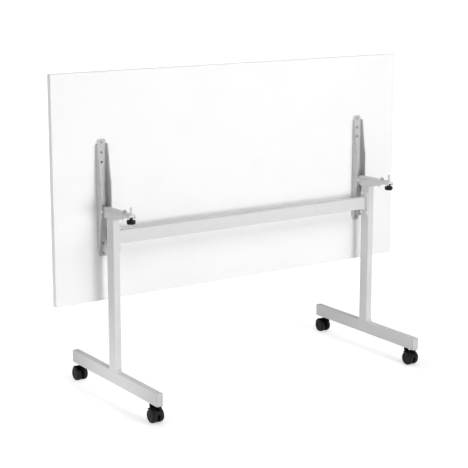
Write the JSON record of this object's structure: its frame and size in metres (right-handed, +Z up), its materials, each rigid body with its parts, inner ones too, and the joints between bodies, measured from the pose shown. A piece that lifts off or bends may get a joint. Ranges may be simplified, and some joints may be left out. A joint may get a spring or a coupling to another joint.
{
  "type": "flip top training table",
  "caption": "Rectangular white training table on T legs with twin wheel castors; its top flips upright about side brackets for nested storage and locks flat with knobs.",
  "frame": {"origin": "on the floor, midway between the two legs and midway along the foot bars", "axes": "+X along the table's length to the right seen from the front, +Y from the front towards the upright top, +Z up"},
  "size_m": [1.5, 0.6, 1.146],
  "materials": {
    "melamine": "white melamine coated board, fine satin",
    "edging": "white plastic edge band, satin",
    "silver_paint": "silver powder coat with a very fine speckle, satin",
    "cap_plastic": "grey moulded plastic, matte",
    "steel": "zinc plated steel",
    "stop_rubber": "grey rubber, matte",
    "black_plastic": "black moulded plastic, satin",
    "wheel_plastic": "black nylon wheel, satin"
  },
  "bodies": {
    "frame": {"cross_beam": "silver_paint", "foot_left": "silver_paint", "column_left": "silver_paint", "arm_left": "silver_paint", "pivot_bolt_left": "steel", "bump_stop_left": "stop_rubber", "foot_right": "silver_paint", "column_right": "silver_paint", "arm_right": "silver_paint", "pivot_bolt_right": "steel", "bump_stop_right": "stop_rubber", "end_cap_left_front": "cap_plastic", "castor_stem_left_front": "steel", "end_cap_left_back": "cap_plastic", "castor_stem_left_back": "steel", "end_cap_right_front": "cap_plastic", "castor_stem_right_front": "steel", "end_cap_right_back": "cap_plastic", "castor_stem_right_back": "steel"},
    "top": {"table_top": "melamine", "edge_band": "edging", "bracket_left": "silver_paint", "lock_socket_left": "steel", "bracket_screw_left_1": "steel", "bracket_screw_left_2": "steel", "bracket_screw_left_3": "steel", "bracket_screw_left_4": "steel", "bracket_right": "silver_paint", "lock_socket_right": "steel", "bracket_screw_right_1": "steel", "bracket_screw_right_2": "steel", "bracket_screw_right_3": "steel", "bracket_screw_right_4": "steel"},
    "lock_carrier_left": {"lock_washer_left": "steel"},
    "lock_screw_left": {"lock_knob_left": "black_plastic", "lock_stud_left": "steel"},
    "lock_carrier_right": {"lock_washer_right": "steel"},
    "lock_screw_right": {"lock_knob_right": "black_plastic", "lock_stud_right": "steel"},
    "castor_left_front": {"castor_body_left_front": "black_plastic", "castor_axle_left_front": "steel"},
    "pedal_left_front": {"brake_pedal_left_front": "black_plastic"},
    "inner_wheel_left_front": {"wheel_left_front_inner": "wheel_plastic"},
    "outer_wheel_left_front": {"wheel_left_front_outer": "wheel_plastic"},
    "castor_left_back": {"castor_body_left_back": "black_plastic", "castor_axle_left_back": "steel"},
    "pedal_left_back": {"brake_pedal_left_back": "black_plastic"},
    "inner_wheel_left_back": {"wheel_left_back_inner": "wheel_plastic"},
    "outer_wheel_left_back": {"wheel_left_back_outer": "wheel_plastic"},
    "castor_right_front": {"castor_body_right_front": "black_plastic", "castor_axle_right_front": "steel"},
    "pedal_right_front": {"brake_pedal_right_front": "black_plastic"},
    "inner_wheel_right_front": {"wheel_right_front_inner": "wheel_plastic"},
    "outer_wheel_right_front": {"wheel_right_front_outer": "wheel_plastic"},
    "castor_right_back": {"castor_body_right_back": "black_plastic", "castor_axle_right_back": "steel"},
    "pedal_right_back": {"brake_pedal_right_back": "black_plastic"},
    "inner_wheel_right_back": {"wheel_right_back_inner": "wheel_plastic"},
    "outer_wheel_right_back": {"wheel_right_back_outer": "wheel_plastic"}
  },
  "joints": [
    {"name": "top_flip", "type": "hinge", "parent": "frame", "child": "top", "pos_m": [0, 0.043, 0.667], "axis": [1, 0, 0], "range_deg": [0, 90]},
    {"name": "lock_travel_left", "type": "slide", "parent": "frame", "child": "lock_carrier_left", "axis": [0, 0, 1], "range_m": [-0.0101, 0]},
    {"name": "lock_turn_left", "type": "hinge", "parent": "lock_carrier_left", "child": "lock_screw_left", "pos_m": [-0.5635, -0.125, 0.664], "axis": [0, 0, 1], "range_deg": [-2880, 0]},
    {"name": "lock_travel_right", "type": "slide", "parent": "frame", "child": "lock_carrier_right", "axis": [0, 0, 1], "range_m": [-0.0101, 0]},
    {"name": "lock_turn_right", "type": "hinge", "parent": "lock_carrier_right", "child": "lock_screw_right", "pos_m": [0.5635, -0.125, 0.664], "axis": [0, 0, 1], "range_deg": [-2880, 0]},
    {"name": "swivel_left_front", "type": "hinge", "parent": "frame", "child": "castor_left_front", "pos_m": [-0.5635, -0.248, 0.054], "axis": [0, 0, 1], "continuous": true},
    {"name": "brake_left_front", "type": "hinge", "parent": "castor_left_front", "child": "pedal_left_front", "pos_m": [-0.5635, -0.27766, 0.05172], "axis": [1, 0, 0], "range_deg": [0, 5.5]},
    {"name": "roll_left_front_inner", "type": "hinge", "parent": "castor_left_front", "child": "inner_wheel_left_front", "pos_m": [-0.5635, -0.27, 0.025], "axis": [1, 0, 0], "continuous": true},
    {"name": "roll_left_front_outer", "type": "hinge", "parent": "castor_left_front", "child": "outer_wheel_left_front", "pos_m": [-0.5635, -0.27, 0.025], "axis": [1, 0, 0], "continuous": true},
    {"name": "swivel_left_back", "type": "hinge", "parent": "frame", "child": "castor_left_back", "pos_m": [-0.5635, 0.248, 0.054], "axis": [0, 0, 1], "continuous": true},
    {"name": "brake_left_back", "type": "hinge", "parent": "castor_left_back", "child": "pedal_left_back", "pos_m": [-0.5635, 0.27766, 0.05172], "axis": [-1, 0, 0], "range_deg": [0, 5.5]},
    {"name": "roll_left_back_inner", "type": "hinge", "parent": "castor_left_back", "child": "inner_wheel_left_back", "pos_m": [-0.5635, 0.27, 0.025], "axis": [1, 0, 0], "continuous": true},
    {"name": "roll_left_back_outer", "type": "hinge", "parent": "castor_left_back", "child": "outer_wheel_left_back", "pos_m": [-0.5635, 0.27, 0.025], "axis": [1, 0, 0], "continuous": true},
    {"name": "swivel_right_front", "type": "hinge", "parent": "frame", "child": "castor_right_front", "pos_m": [0.5635, -0.248, 0.054], "axis": [0, 0, 1], "continuous": true},
    {"name": "brake_right_front", "type": "hinge", "parent": "castor_right_front", "child": "pedal_right_front", "pos_m": [0.5635, -0.27766, 0.05172], "axis": [1, 0, 0], "range_deg": [0, 5.5]},
    {"name": "roll_right_front_inner", "type": "hinge", "parent": "castor_right_front", "child": "inner_wheel_right_front", "pos_m": [0.5635, -0.27, 0.025], "axis": [1, 0, 0], "continuous": true},
    {"name": "roll_right_front_outer", "type": "hinge", "parent": "castor_right_front", "child": "outer_wheel_right_front", "pos_m": [0.5635, -0.27, 0.025], "axis": [1, 0, 0], "continuous": true},
    {"name": "swivel_right_back", "type": "hinge", "parent": "frame", "child": "castor_right_back", "pos_m": [0.5635, 0.248, 0.054], "axis": [0, 0, 1], "continuous": true},
    {"name": "brake_right_back", "type": "hinge", "parent": "castor_right_back", "child": "pedal_right_back", "pos_m": [0.5635, 0.27766, 0.05172], "axis": [-1, 0, 0], "range_deg": [0, 5.5]},
    {"name": "roll_right_back_inner", "type": "hinge", "parent": "castor_right_back", "child": "inner_wheel_right_back", "pos_m": [0.5635, 0.27, 0.025], "axis": [1, 0, 0], "continuous": true},
    {"name": "roll_right_back_outer", "type": "hinge", "parent": "castor_right_back", "child": "outer_wheel_right_back", "pos_m": [0.5635, 0.27, 0.025], "axis": [1, 0, 0], "continuous": true}
  ],
  "couplings": [
    {"joint": "lock_travel_left", "follows": "lock_turn_left", "m_per_rad": 0.00019894},
    {"joint": "lock_travel_right", "follows": "lock_turn_right", "m_per_rad": 0.00019894}
  ]
}
